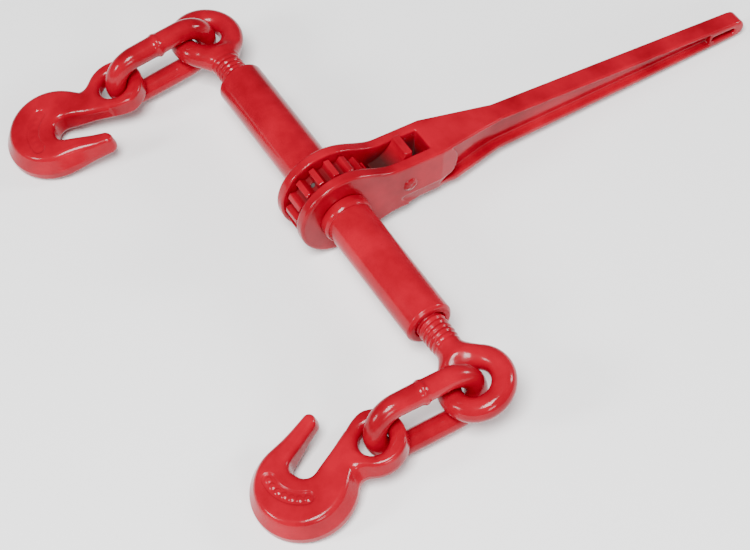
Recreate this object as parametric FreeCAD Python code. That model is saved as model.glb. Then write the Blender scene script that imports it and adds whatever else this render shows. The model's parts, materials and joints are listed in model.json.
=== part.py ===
import FreeCAD, Part

import math
import os

# Ratchet load binder: a turnbuckle barrel with opposite threads, a ratchet handle that turns it, and
# an eye screw, connecting link and grab hook at each end. Millimetres, +Z up, +X along the barrel.
# Everything is drawn lying on a flat surface, with the barrel axis level.

# ---------------------------------------------------------------- driving dimensions
FIT = 0.05  # radial clearance of the running fits
FAR = 200.0  # reach of the tools that only trim

BARREL_LENGTH = 254.0
BARREL_R = 17.0
BARREL_CHAMFER = 1.6
CAVITY_R = 12.6  # clearance bore between the two threaded ends
THREADED_END = 25.0

THREAD_R = 10.6  # major radius of both screws
THREAD_PITCH = 4.0

GEAR_TEETH = 16
GEAR_TIP_R = 31.4
GEAR_ROOT_R = 26.2
GEAR_WIDTH = 15.0
GEAR_PHASE = 45.9  # angle of one tooth from +Y of the handle, towards its top
TOOTH_HALF_TIP = 2.1
TOOTH_HALF_ROOT = 2.9
GEAR_PIN_R = 1.6
GEAR_PIN_TOP_R = 25.4
GEAR_PIN_PITCHES = 3.5  # from the phase tooth to the gap that the pin is in

COLLAR_R = 18.6
COLLAR_WIDTH = 8.0
COLLAR_GAP = 0.3
COLLAR_CHAMFER = 0.8

HANDLE_DROP = 4.4  # slope of the handle, down to its resting tip, degrees
DISC_R = 33.0  # cheek discs round the barrel
CHEEK_OUTER = 17.5
SLOT_HALF = 9.6
SLOT_END = 73.0
NECK_Y = 30.0
HEAD_HALF_HEIGHT = 20.5
HEAD_START = 38.0
HEAD_END = 79.0
SHAFT_START = 134.0
SHAFT_HALF_HEIGHT = 16.4
TIP_Y = 349.5
TIP_HALF_HEIGHT = 6.8
SHAFT_HALF_WIDTH = 7.9
TIP_HALF_WIDTH = 7.0
WEB_HALF = 2.6
TOP_FLANGE = 4.0
BOTTOM_FLANGE = 7.0
RECESS_START = 91.0
RECESS_START_HALF = 9.0
RECESS_END = 317.0
WINDOW_START = 322.0
WINDOW_END = 338.0
WINDOW_HALF = 2.6

PAWL_Y = 53.0
PAWL_Z = 1.2
PAWL_HALF_WIDTH = 9.2
PAWL_PIN_R = 4.5
PAWL_PIN_HEAD_R = 5.6
PAWL_PIN_HEAD = 2.2
CLAW_REACH = 24.5  # from the pawl pin to a claw's tip
CLAW_ANGLE = 23.5  # of a claw's tip either side of the line to the gear, in neutral
PAWL_TILT = 12.5  # to each side, where a claw stands in a tooth gap
CLAW_TIP_R = 1.3
PAWL_HUB_R = 9.4
CLAW_HEEL_R = 14.0  # the inner corner between the claws
CLAW_HEEL_ANGLE = 8.0
CLAW_BACK_R = 17.0  # the outer corner of a claw's arm
CLAW_BACK_ANGLE = 44.0
CLAW_ROOT_ANGLE = 95.0  # where a claw's arm leaves the hub
TAB_TOP = 24.0
TAB_START = 51.5
TAB_END = 59.0
TAB_CORNER = 3.0
TAB_FOOT = 6.0  # height of the tab's foot over the pawl pin

PLUNGER_R = 3.2
PLUNGER_LENGTH = 14.0
PLUNGER_TRAVEL = 2.0
PLUNGER_BORE_END = 96.0
NOTCH_DEPTH = 0.5
SPRING_WIRE_R = 0.45
SPRING_R = 2.3
SPRING_TURNS = 6

EYE_R = 18.5  # centreline of the eye ring
EYE_WIRE_R = 8.4
SCREW_LENGTH = 166.0  # from the eye's centre to the inner end
NECK_R = 9.0
NECK_LENGTH = 14.0
SPIGOT_R = 6.0
WASHER_R = 12.3
WASHER_THICK = 3.0
CLIP_R = 8.2
CLIP_THICK = 1.5
END_GAP = 0.2

LINK_WIRE_R = 7.8
LINK_LENGTH = 89.6
LINK_INNER_WIDTH = 21.8

HOOK_THICK = 19.0
HOOK_EYE_THICK = 14.6
HOOK_EYE_R = 22.0
HOOK_HOLE_R = 11.0
HOOK_BOWL_A = 46.2  # centre of the round back, along and across the hook's slot
HOOK_BOWL_B = -25.0
HOOK_BOWL_R = 35.0
HOOK_THROAT = 19.2
HOOK_THROAT_B = -29.8
HOOK_THROAT_END = 43.9
HOOK_TIP_A = 7.5
HOOK_TIP_R = 5.7
HOOK_WAIST_R = 9.0
HOOK_EDGE = 5.5  # rounding of the forging's rims
HOOK_THIN_TO = 16.0  # how far along the slot the eye's thickness runs, and where the full one starts
HOOK_THICK_FROM = 36.0
HOOK_SEAT = 1.5  # from the centre of the link's bow to the hole's centre: along the link, out, down
HOOK_ASIDE = 1.2
HOOK_DROP = 4.0
HOOK_ROLL = 4.0  # of the hook about its slot, its finger lower than its eye, degrees

# one row for each end of the barrel: the end, the eye's place, how far its ring leans about the
# barrel, how far the link reaches through it, lies along it and hangs below it, the headings in plan
# and the slopes of the link and the hook, and how far the link leans over. millimetres and degrees.
ENDS = {
    "right": dict(side=1, eye_x=181.5, lean=17.6, link_inset=17.4, link_shift=-1.2, link_drop=-0.9,
                  link_turn=-1.9, link_slope=-1.2, link_lean=-11.0, hook_turn=26.0, hook_slope=-11.0,
                  flip=1),
    "left": dict(side=-1, eye_x=176.2, lean=-6.0, link_inset=17.8, link_shift=0.0, link_drop=2.0,
                 link_turn=1.0, link_slope=-5.2, link_lean=0.0, hook_turn=-26.0, hook_slope=-11.0,
                 flip=-1),
}

# ---------------------------------------------------------------- shorthand
X = FreeCAD.Vector(1, 0, 0)
Y = FreeCAD.Vector(0, 1, 0)
Z = FreeCAD.Vector(0, 0, 1)


def vec(x, y, z):
    return FreeCAD.Vector(x, y, z)


def rod(r, x0, x1, y=0.0, z=0.0):
    """A cylinder along X."""
    return Part.makeCylinder(r, x1 - x0, vec(x0, y, z), X)


def box(x0, x1, y0, y1, z0, z1):
    return Part.makeBox(x1 - x0, y1 - y0, z1 - z0, vec(x0, y0, z0))


def polar(r, degrees):
    """A point of the YZ plane, at an angle from +Y towards +Z."""
    a = math.radians(degrees)
    return vec(0, r * math.cos(a), r * math.sin(a))


def line(a, b):
    return Part.LineSegment(a, b).toShape()


def arc(a, middle, b):
    return Part.Arc(a, middle, b).toShape()


def plate_x(edges, half):
    """A closed outline in the YZ plane, thickened by half each way along X."""
    face = Part.Face(Part.Wire(edges))
    face.translate(vec(-half, 0, 0))
    return face.extrude(vec(2 * half, 0, 0))


def prism(points, along):
    """A closed polygon, extruded."""
    return Part.Face(Part.makePolygon(points + points[:1])).extrude(along)


# ---------------------------------------------------------------- barrel group
def barrel():
    half = BARREL_LENGTH / 2
    solid = rod(BARREL_R, -half, half)
    rims = [e for e in solid.Edges if abs(abs(e.CenterOfMass.x) - half) < 0.01]
    solid = solid.makeChamfer(BARREL_CHAMFER, rims)
    solid = solid.cut(rod(THREAD_R + FIT, -half - 1, half + 1))
    solid = solid.cut(rod(CAVITY_R, -half + THREADED_END, half - THREADED_END))
    return solid.cut(gear_pin_hole())


def gear_pin_angle():
    return GEAR_PHASE + GEAR_PIN_PITCHES * 360 / GEAR_TEETH


def gear_pin_hole():
    axis = polar(1, gear_pin_angle())
    return Part.makeCylinder(GEAR_PIN_R, GEAR_TIP_R - CAVITY_R / 2, axis * (CAVITY_R / 2), axis)


def gear_pin():
    axis = polar(1, gear_pin_angle())
    start = CAVITY_R + 0.6
    return Part.makeCylinder(GEAR_PIN_R, GEAR_PIN_TOP_R - start, axis * start, axis)


def ratchet_gear():
    pitch = 360 / GEAR_TEETH
    tip = math.degrees(TOOTH_HALF_TIP / GEAR_TIP_R)
    root = math.degrees(TOOTH_HALF_ROOT / GEAR_ROOT_R)
    edges = []
    for n in range(GEAR_TEETH):
        a = GEAR_PHASE + n * pitch
        foot, shoulder = polar(GEAR_ROOT_R, a - root), polar(GEAR_TIP_R, a - tip)
        shoulder_2, foot_2 = polar(GEAR_TIP_R, a + tip), polar(GEAR_ROOT_R, a + root)
        edges.append(line(foot, shoulder))
        edges.append(arc(shoulder, polar(GEAR_TIP_R, a), shoulder_2))
        edges.append(line(shoulder_2, foot_2))
        edges.append(arc(foot_2, polar(GEAR_ROOT_R, a + pitch / 2), polar(GEAR_ROOT_R, a + pitch - root)))
    solid = plate_x(edges, GEAR_WIDTH / 2)
    solid = solid.cut(rod(BARREL_R, -GEAR_WIDTH, GEAR_WIDTH))
    return solid.cut(gear_pin_hole())


def collar(side):
    start = CHEEK_OUTER + COLLAR_GAP
    ring = rod(COLLAR_R, start, start + COLLAR_WIDTH)
    rims = [e for e in ring.Edges if abs(e.CenterOfMass.x - start - COLLAR_WIDTH) < 0.01]
    ring = ring.makeChamfer(COLLAR_CHAMFER, rims)
    ring = ring.cut(rod(BARREL_R, 0, start + COLLAR_WIDTH + 1))
    return ring if side > 0 else ring.mirror(vec(0, 0, 0), X)


# ---------------------------------------------------------------- handle group, drawn along +Y
def shaft_half_height(y):
    t = (y - SHAFT_START) / (TIP_Y - SHAFT_START)
    return SHAFT_HALF_HEIGHT + t * (TIP_HALF_HEIGHT - SHAFT_HALF_HEIGHT)


def shaft_half_width(y):
    t = (y - SHAFT_START) / (TIP_Y - SHAFT_START)
    return SHAFT_HALF_WIDTH + t * (TIP_HALF_WIDTH - SHAFT_HALF_WIDTH)


def handle_side():
    """The handle seen from the side: cheek disc, head, taper and shaft, with a round tip."""
    neck = math.sqrt(DISC_R ** 2 - NECK_Y ** 2)
    end = TIP_Y - TIP_HALF_HEIGHT
    tip = shaft_half_height(end)
    top = [
        vec(0, NECK_Y, neck),
        vec(0, HEAD_START, HEAD_HALF_HEIGHT),
        vec(0, HEAD_END, HEAD_HALF_HEIGHT),
        vec(0, SHAFT_START, SHAFT_HALF_HEIGHT),
        vec(0, end, tip),
    ]
    bottom = [vec(0, p.y, -p.z) for p in reversed(top)]
    edges = [line(a, b) for a, b in zip(top, top[1:])]
    edges.append(arc(top[-1], vec(0, TIP_Y, 0), bottom[0]))
    edges += [line(a, b) for a, b in zip(bottom, bottom[1:])]
    edges.append(arc(bottom[-1], vec(0, -DISC_R, 0), top[0]))
    return plate_x(edges, CHEEK_OUTER)


def handle_plan():
    """The handle seen from above, as a tall prism."""
    right = [
        vec(CHEEK_OUTER, -DISC_R - 1, -FAR),
        vec(CHEEK_OUTER, HEAD_END, -FAR),
        vec(SHAFT_HALF_WIDTH, SHAFT_START, -FAR),
        vec(TIP_HALF_WIDTH, TIP_Y + 1, -FAR),
    ]
    left = [vec(-p.x, p.y, p.z) for p in reversed(right)]
    return prism(right + left, Z * (2 * FAR))


def side_recess(side):
    """The long pocket in one side of the shaft, which leaves the web between two flanges."""
    top = [vec(0, y, shaft_half_height(y) - TOP_FLANGE) for y in (SHAFT_START, RECESS_END)]
    low = [vec(0, y, BOTTOM_FLANGE - shaft_half_height(y)) for y in (RECESS_END, SHAFT_START)]
    start_top = vec(0, RECESS_START, HEAD_HALF_HEIGHT - TOP_FLANGE - 1)
    start_low = vec(0, RECESS_START - 4, BOTTOM_FLANGE + 2 - HEAD_HALF_HEIGHT)
    outline = prism([start_top] + top + low + [start_low], X * (side * CHEEK_OUTER * 2))
    floor = [
        vec(side * RECESS_START_HALF, RECESS_START - 10, -FAR),
        vec(side * WEB_HALF, SHAFT_START, -FAR),
        vec(side * WEB_HALF, RECESS_END + 10, -FAR),
        vec(side * FAR, RECESS_END + 10, -FAR),
        vec(side * FAR, RECESS_START - 10, -FAR),
    ]
    return outline.common(prism(floor, Z * (2 * FAR)))


def tip_window():
    points = (WINDOW_START, WINDOW_END)
    slot = box(-FAR, FAR, *points, -WINDOW_HALF, WINDOW_HALF)
    for y in points:
        slot = slot.fuse(rod(WINDOW_HALF, -FAR, FAR, y, 0))
    return slot


def handle():
    solid = handle_side().common(handle_plan())
    solid = solid.cut(box(-SLOT_HALF, SLOT_HALF, -FAR, SLOT_END, -FAR, FAR))
    solid = solid.cut(rod(BARREL_R + FIT, -FAR, FAR))
    solid = solid.cut(rod(PAWL_PIN_R, -FAR, FAR, PAWL_Y, PAWL_Z))
    bore = Part.makeCylinder(PLUNGER_R + FIT, PLUNGER_BORE_END - PAWL_Y, vec(0, PAWL_Y, PAWL_Z), Y)
    solid = solid.cut(bore)
    for side in (1, -1):
        solid = solid.cut(side_recess(side))
    return solid.cut(tip_window())


def pawl_pin():
    """A rivet: its shank fills both cheeks, and a low dome stands on each."""
    solid = rod(PAWL_PIN_R, -CHEEK_OUTER, CHEEK_OUTER, PAWL_Y, PAWL_Z)
    ball_r = (PAWL_PIN_HEAD_R ** 2 + PAWL_PIN_HEAD ** 2) / (2 * PAWL_PIN_HEAD)
    for side in (1, -1):
        centre = side * (CHEEK_OUTER + PAWL_PIN_HEAD - ball_r)
        ball = Part.makeSphere(ball_r, vec(centre, PAWL_Y, PAWL_Z))
        start, end = sorted((side * CHEEK_OUTER, side * FAR))
        solid = solid.fuse(ball.common(rod(FAR, start, end, PAWL_Y, PAWL_Z)))
    return solid.removeSplitter()


def pawl_point(r, degrees):
    """A point at an angle from the line that runs from the pawl pin to the gear, towards the top."""
    line_angle = math.degrees(math.atan2(PAWL_Z, PAWL_Y))
    return vec(0, PAWL_Y, PAWL_Z) - polar(r, line_angle - degrees)


def pawl():
    """A double-acting pawl: an anchor with a claw above and one below, and a thumb tab on top."""
    nose = CLAW_REACH - CLAW_TIP_R
    solid = rod(PAWL_HUB_R, -PAWL_HALF_WIDTH, PAWL_HALF_WIDTH, PAWL_Y, PAWL_Z)
    for side in (1, -1):
        outer = math.degrees(CLAW_TIP_R / nose)
        points = [
            pawl_point(nose, side * (CLAW_ANGLE + outer)),
            pawl_point(nose, side * (CLAW_ANGLE - outer)),
            pawl_point(CLAW_HEEL_R, side * CLAW_HEEL_ANGLE),
            pawl_point(PAWL_HUB_R - 2, side * -CLAW_HEEL_ANGLE),
            pawl_point(PAWL_HUB_R - 1, side * CLAW_ROOT_ANGLE),
            pawl_point(CLAW_BACK_R, side * CLAW_BACK_ANGLE),
        ]
        points = [vec(-PAWL_HALF_WIDTH, p.y, p.z) for p in points]
        solid = solid.fuse(prism(points, X * (2 * PAWL_HALF_WIDTH)))
        tip = pawl_point(nose, side * CLAW_ANGLE)
        solid = solid.fuse(rod(CLAW_TIP_R, -PAWL_HALF_WIDTH, PAWL_HALF_WIDTH, tip.y, tip.z))
    tab = [
        vec(-PAWL_HALF_WIDTH, TAB_START - TAB_CORNER, PAWL_Z + TAB_FOOT),
        vec(-PAWL_HALF_WIDTH, TAB_START, TAB_TOP - TAB_CORNER),
        vec(-PAWL_HALF_WIDTH, TAB_START + TAB_CORNER, TAB_TOP),
        vec(-PAWL_HALF_WIDTH, TAB_END, TAB_TOP),
        vec(-PAWL_HALF_WIDTH, TAB_END + 1, PAWL_Z + TAB_FOOT),
        vec(-PAWL_HALF_WIDTH, PAWL_Y, PAWL_Z),
    ]
    solid = solid.fuse(prism(tab, X * (2 * PAWL_HALF_WIDTH))).removeSplitter()
    for turn in (-PAWL_TILT, 0, PAWL_TILT):
        groove = pawl_point(PAWL_HUB_R - NOTCH_DEPTH + PLUNGER_R, 180 + turn)
        solid = solid.cut(rod(PLUNGER_R, -FAR, FAR, groove.y, groove.z))
    return solid.cut(rod(PAWL_PIN_R + FIT, -FAR, FAR, PAWL_Y, PAWL_Z))


def detent_plunger():
    nose_y = PAWL_Y + PAWL_HUB_R + 0.15
    solid = Part.makeCylinder(PLUNGER_R, PLUNGER_LENGTH - PLUNGER_R, vec(0, nose_y + PLUNGER_R, PAWL_Z), Y)
    return solid.fuse(Part.makeSphere(PLUNGER_R, vec(0, nose_y + PLUNGER_R, PAWL_Z))).removeSplitter()


def detent_spring():
    start = PAWL_Y + PAWL_HUB_R + PLUNGER_LENGTH + 0.15 + SPRING_WIRE_R
    length = PLUNGER_BORE_END - SPRING_WIRE_R - start - 0.1
    helix = Part.makeHelix(length / SPRING_TURNS, length, SPRING_R)
    section = Part.Wire(Part.makeCircle(SPRING_WIRE_R, vec(SPRING_R, 0, 0), Y))
    coil = Part.Wire(helix.Edges).makePipeShell([section], True, True)
    coil.rotate(vec(0, 0, 0), X, -90)
    coil.translate(vec(0, start, PAWL_Z))
    return coil


def tilted(shape):
    """Turns a piece drawn along +Y down about the barrel, so that the handle's tip rests."""
    return shape.rotated(vec(0, 0, 0), X, -HANDLE_DROP)


# ---------------------------------------------------------------- screw ends, drawn at the +X end
def eye_screw(eye_x):
    """The forged eye, its neck and its thread, which ends in a spigot. The ring lies level."""
    inner = eye_x - SCREW_LENGTH
    shoulder = inner + CLIP_THICK + WASHER_THICK + 2 * END_GAP
    neck_end = eye_x - EYE_R
    neck_start = neck_end - NECK_LENGTH
    solid = rod(THREAD_R, shoulder, neck_start)
    solid = solid.fuse(Part.makeCone(THREAD_R, NECK_R, neck_end - neck_start, vec(neck_start, 0, 0), X))
    solid = solid.fuse(rod(SPIGOT_R, inner, shoulder))
    solid = solid.fuse(Part.makeTorus(EYE_R, EYE_WIRE_R, vec(eye_x, 0, 0), Z))
    return solid.removeSplitter()


def stop_washer(eye_x):
    start = eye_x - SCREW_LENGTH + CLIP_THICK + END_GAP
    ring = rod(WASHER_R, start, start + WASHER_THICK)
    return ring.cut(rod(SPIGOT_R + FIT, start - 1, start + WASHER_THICK + 1))


def end_clip(eye_x):
    start = eye_x - SCREW_LENGTH
    return rod(CLIP_R, start, start + CLIP_THICK).cut(rod(SPIGOT_R, start - 1, start + CLIP_THICK + 1))


def at_end(shape, end):
    """Moves a piece drawn at the +X end to its own end, and leans it about the barrel."""
    turned = shape if end["side"] > 0 else shape.rotated(vec(0, 0, 0), Z, 180)
    return turned.rotated(vec(0, 0, 0), X, end["lean"])


# ---------------------------------------------------------------- link and hook
def heading(turn, slope):
    """A unit vector at a turn from -Y towards +X in plan, rising by the slope. degrees."""
    t, s = math.radians(turn), math.radians(slope)
    return vec(math.sin(t) * math.cos(s), -math.cos(t) * math.cos(s), math.sin(s))


def frame(origin, along, up):
    """The placement whose X axis is along and whose Z axis is as near to up as it can be."""
    across = up.cross(along).normalize()
    third = along.cross(across).normalize()
    m = FreeCAD.Matrix(
        along.x, across.x, third.x, origin.x,
        along.y, across.y, third.y, origin.y,
        along.z, across.z, third.z, origin.z,
        0, 0, 0, 1,
    )
    return FreeCAD.Placement(m)


def link_shape():
    """A welded oval link in its own XZ plane, long along X."""
    half_width = LINK_INNER_WIDTH / 2 + LINK_WIRE_R
    half_straight = LINK_LENGTH / 2 - LINK_WIRE_R - half_width
    bars = []
    for z in (half_width, -half_width):
        bars.append(rod(LINK_WIRE_R, -half_straight, half_straight, 0, z))
    ring = Part.makeTorus(half_width, LINK_WIRE_R, vec(0, 0, 0), Y)
    for side in (1, -1):
        start, end = sorted((0, side * FAR))
        bow = ring.common(box(start, end, -FAR, FAR, -FAR, FAR))
        bow.translate(vec(side * half_straight, 0, 0))
        bars.append(bow)
    return bars[0].multiFuse(bars[1:]).removeSplitter()


def hook_outline():
    """The hook's outline round a plane of a, along the slot away from its mouth, and b across it."""
    bowl = vec(HOOK_BOWL_A, HOOK_BOWL_B, 0)
    throat_top = HOOK_THROAT_B + HOOK_THROAT / 2
    throat_low = HOOK_THROAT_B - HOOK_THROAT / 2
    throat_centre = vec(HOOK_THROAT_END - HOOK_THROAT / 2, HOOK_THROAT_B, 0)
    throat_turn = throat_centre + X * (HOOK_THROAT / 2)
    tip = vec(HOOK_TIP_A, throat_low - HOOK_TIP_R, 0)

    # the waist: an arc that touches the eye and the bowl from outside
    r_eye, r_bowl = HOOK_EYE_R + HOOK_WAIST_R, HOOK_BOWL_R + HOOK_WAIST_R
    gap = bowl.Length
    along = (gap ** 2 + r_eye ** 2 - r_bowl ** 2) / (2 * gap)
    across = math.sqrt(r_eye ** 2 - along ** 2)
    unit = vec(bowl.x, bowl.y, 0).normalize()
    waist = unit * along + vec(-unit.y, unit.x, 0) * across
    eye_touch = vec(waist.x, waist.y, 0).normalize() * HOOK_EYE_R
    bowl_touch = bowl + (waist - bowl).normalize() * HOOK_BOWL_R
    chord = ((eye_touch + bowl_touch) * 0.5 - waist).normalize()
    waist_middle = waist + chord * HOOK_WAIST_R

    # the finger's outer edge touches the bowl and the tip
    span = bowl - tip
    lift = math.asin((HOOK_BOWL_R - HOOK_TIP_R) / span.Length)
    base = math.atan2(span.y, span.x) - math.pi / 2
    normal = vec(math.cos(base - lift), math.sin(base - lift), 0)
    finger_bowl = bowl + normal * HOOK_BOWL_R
    finger_tip = tip + normal * HOOK_TIP_R

    eye_low = vec(math.sqrt(HOOK_EYE_R ** 2 - throat_top ** 2), throat_top, 0)
    tip_top = vec(tip.x, throat_low, 0)
    return [
        arc(eye_low, vec(-HOOK_EYE_R, 0, 0), eye_touch),
        arc(eye_touch, waist_middle, bowl_touch),
        arc(bowl_touch, bowl + X * HOOK_BOWL_R, finger_bowl),
        line(finger_bowl, finger_tip),
        arc(finger_tip, tip - X * HOOK_TIP_R, tip_top),
        line(tip_top, throat_centre - Y * (HOOK_THROAT / 2)),
        arc(throat_centre - Y * (HOOK_THROAT / 2), throat_turn, throat_centre + Y * (HOOK_THROAT / 2)),
        line(throat_centre + Y * (HOOK_THROAT / 2), eye_low),
    ]


def hook_shape():
    """The grab hook, level, with the centre of its eye at the origin and its slot along X."""
    face = Part.Face(Part.Wire(hook_outline()))
    face.translate(vec(0, 0, -HOOK_THICK / 2))
    solid = face.extrude(vec(0, 0, HOOK_THICK))
    rims = [e for e in solid.Edges if abs(e.CenterOfMass.z) > HOOK_THICK / 4]
    solid = solid.makeFillet(HOOK_EDGE, rims)
    eye, full = HOOK_EYE_THICK / 2, HOOK_THICK / 2
    low = [
        vec(-FAR, -FAR, -eye),
        vec(HOOK_THIN_TO, -FAR, -eye),
        vec(HOOK_THICK_FROM, -FAR, -full),
        vec(FAR, -FAR, -full),
    ]
    high = [vec(p.x, p.y, -p.z) for p in reversed(low)]
    solid = solid.common(prism(low + high, Y * (2 * FAR)))
    ring_r = HOOK_HOLE_R + eye
    hole = Part.makeCylinder(ring_r, 2 * FAR, vec(0, 0, -FAR), Z)
    return solid.cut(hole.cut(Part.makeTorus(ring_r, eye, vec(0, 0, 0), Z)))


def link_frame(end):
    """Where one link lies: its bow through the eye ring, and its plane upright or leaning over."""
    ring_centre = vec(end["side"] * end["eye_x"], 0, 0)
    lean = math.radians(end["lean"])
    ring_wire = ring_centre - vec(0, math.cos(lean), math.sin(lean)) * EYE_R
    along = heading(end["link_turn"], end["link_slope"])
    bow = ring_wire - along * end["link_inset"] + vec(end["link_shift"], 0, -end["link_drop"])
    up = FreeCAD.Rotation(along, -end["link_lean"]).multVec(Z)
    return frame(bow + along * (LINK_LENGTH / 2 - LINK_WIRE_R), along, up)


def hook_pivot(end):
    """The centre of the link's bow that the hook hangs on."""
    return link_frame(end).multVec(vec(LINK_LENGTH / 2 - LINK_WIRE_R, 0, 0))


def hook_frame(end):
    along_link = heading(end["link_turn"], end["link_slope"])
    along = heading(end["hook_turn"], end["hook_slope"])
    aside = vec(end["side"] * HOOK_ASIDE, 0, -HOOK_DROP)
    centre = hook_pivot(end) + along_link * HOOK_SEAT + aside
    up = FreeCAD.Rotation(along, end["flip"] * HOOK_ROLL).multVec(Z)
    return frame(centre, along, up)


def placed(shape, placement):
    copy = shape.copy()
    copy.Placement = placement
    return copy


def hook(end):
    shape = hook_shape()
    if end["flip"] < 0:
        shape = shape.mirror(vec(0, 0, 0), Y)
    return placed(shape, hook_frame(end))


# ---------------------------------------------------------------- the whole binder
def pieces():
    made = {
        "barrel": barrel(),
        "ratchet_gear": ratchet_gear(),
        "gear_pin": gear_pin(),
        "right_collar": collar(1),
        "left_collar": collar(-1),
        "handle": handle(),
        "pawl_pin": pawl_pin(),
        "pawl": pawl(),
        "detent_plunger": detent_plunger(),
        "detent_spring": detent_spring(),
    }
    made = {name: tilted(shape) for name, shape in made.items()}
    for name, end in ENDS.items():
        made[name + "_eye_screw"] = at_end(eye_screw(end["eye_x"]), end)
        made[name + "_stop_washer"] = at_end(stop_washer(end["eye_x"]), end)
        made[name + "_end_clip"] = at_end(end_clip(end["eye_x"]), end)
        made[name + "_link"] = placed(link_shape(), link_frame(end))
        made[name + "_grab_hook"] = hook(end)
    return made


def base_point(made):
    """The middle of the whole object's box, on the surface that it lies on."""
    whole = Part.makeCompound(list(made.values())).optimalBoundingBox(False, False)
    return vec(whole.Center.x, whole.Center.y, whole.ZMin)


def main():
    os.makedirs("parts", exist_ok=True)
    made = pieces()
    base = base_point(made)
    print("barrel axis from the base point", [round(-v, 3) for v in base])
    for name, shape in made.items():
        shape = shape.copy()
        shape.translate(-base)
        shape.exportStep("parts/" + name + ".step")
        b = shape.optimalBoundingBox(False, False)
        print(f"{name:20s} {shape.ShapeType:9s} valid {shape.isValid()} solids {len(shape.Solids)}"
              f" z {b.ZMin:6.2f} to {b.ZMax:6.2f}")


if __name__ == "__main__":
    main()
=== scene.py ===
import itertools
import json
import math

import bpy
import numpy as np
from mathutils import Matrix, Vector


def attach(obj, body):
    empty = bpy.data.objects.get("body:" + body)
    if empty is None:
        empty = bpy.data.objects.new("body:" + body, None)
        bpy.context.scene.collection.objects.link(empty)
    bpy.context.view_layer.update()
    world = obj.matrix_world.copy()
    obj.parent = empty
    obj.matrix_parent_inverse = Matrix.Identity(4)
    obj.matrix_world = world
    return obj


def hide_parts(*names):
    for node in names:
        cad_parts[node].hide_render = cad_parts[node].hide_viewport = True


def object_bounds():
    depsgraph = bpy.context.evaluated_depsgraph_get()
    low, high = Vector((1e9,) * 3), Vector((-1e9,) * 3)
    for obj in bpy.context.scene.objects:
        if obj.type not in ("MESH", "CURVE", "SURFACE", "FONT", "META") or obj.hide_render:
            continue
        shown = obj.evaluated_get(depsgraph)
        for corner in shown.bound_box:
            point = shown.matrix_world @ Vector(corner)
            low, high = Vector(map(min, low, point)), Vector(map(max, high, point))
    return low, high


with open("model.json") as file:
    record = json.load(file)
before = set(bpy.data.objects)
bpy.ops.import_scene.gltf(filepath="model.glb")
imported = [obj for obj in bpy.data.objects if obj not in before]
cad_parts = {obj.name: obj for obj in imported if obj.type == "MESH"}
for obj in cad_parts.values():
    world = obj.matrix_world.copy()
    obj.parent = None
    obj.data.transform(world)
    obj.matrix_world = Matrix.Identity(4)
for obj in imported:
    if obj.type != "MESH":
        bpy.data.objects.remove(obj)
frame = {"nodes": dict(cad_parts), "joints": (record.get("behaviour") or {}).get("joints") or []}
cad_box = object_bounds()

# Ratchet load binder. Each piece is a smooth closed surface, worked out in millimetres in its own
# frame from distance fields (negative inside), and then placed in the CAD frame in metres.

MM = 0.001
JOINTS = {j["name"]: j for j in frame["joints"]}

# ---------------------------------------------------------------- dimensions, millimetres
BARREL_HALF = 127.0
BARREL_R = 17.0
MOUTH_R = 10.65
CAVITY_R = 12.6
THREADED_END = 25.0
BARREL_CHAMFER = 1.9
MOUTH_CHAMFER = 1.4
MOUTH_FLARE = 1.2
THREAD_R = 10.6
THREAD_DEPTH = 1.0
PITCH = 4.0

TEETH = 16
GEAR_TIP_R = 31.4
GEAR_ROOT_R = 26.2
GEAR_HALF = 7.5
GEAR_PHASE = 45.9
TOOTH_HALF_TIP = 2.1
TOOTH_HALF_ROOT = 3.1
TOOTH_EDGE = 0.55
ROOT_FILLET = 1.2
GEAR_EDGE = 0.8
PIN_HOLE_R = 1.75
SEAT_GAP = 0.02
PIN_TURN = GEAR_PHASE + 3.5 * 360 / TEETH

CHEEK = 17.5
COLLAR_R = 18.6
COLLAR_START = 17.8
COLLAR_WIDTH = 8.0
COLLAR_CHAMFER_X = 2.2
COLLAR_CHAMFER_R = 1.1

HANDLE_DROP = math.radians(4.4)
DISC_R = 33.0
DISC_FILLET = 15.0
BORE_GAP = 0.12
BORE_EDGE = 0.9
SLOT_HALF = 9.6
SLOT_END = 73.0
SLOT_OPEN = -70.0
SLOT_CORNER = 1.2
SLOT_EDGE = 1.1
HEAD_Z = 20.5
HEAD_START = 5.0
HEAD_END = 79.0
SHAFT_START = 134.0
SHAFT_Z = 16.4
SHAFT_X = 7.9
TIP_Y = 349.5
TIP_Z = 6.8
TIP_X = 7.0
CASTING_EDGE = 2.2
WEB_X = 2.6
WEB_ROOT_X = 9.0
WEB_THINS_FROM = 86.0
WEB_THINS_OVER = 46.0
BULGE = (74.0, 4.0)
BULGE_R = 18.5
BULGE_STRETCH = 1.05
BULGE_FILLET = 1.5
WEB_POCKET_GROWS = 1.0
WEB_POCKET_CORNER = 2.6
WEB_POCKET_EDGE = 1.3
WINDOW = (322.0, 338.0)
WINDOW_R = 2.6
WINDOW_EDGE = 1.0
PAWL_Y = 53.0
PAWL_Z = 1.2
PAWL_HUB_R = 9.4
PAWL_HALF = 9.0
PAWL_SCOOP = (32.4, 29.0)
PAWL_SCOOP_R = 21.6
PAWL_EDGE = 0.8

RIVET_R = 4.4
RIVET_HEAD_R = 5.6
RIVET_CROWN = 2.0
RIVET_DOME = 0.055
RIVET_LOBES = 5
RIVET_LOBE_HEIGHT = 0.16
RIVET_DIMPLE = (1.1, 0.6)
RIVET_DIMPLE_R = 2.3
RIVET_DIMPLE_DEPTH = 0.7

PAD_Z = -8.5
PAD_STEP = 1.3
PAD_SLOPE = 0.14
PAD_SLOPE_RUN = 12
PAD_BAND = 1.8
PAD_START = 43.0
PAD_CORNER = 6.0
PAD_RISES_FROM = 56.0
PAD_RISE = 0.0016
PAD_FADES_BY = 96.0
PAD_FADE = 14.0

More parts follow.
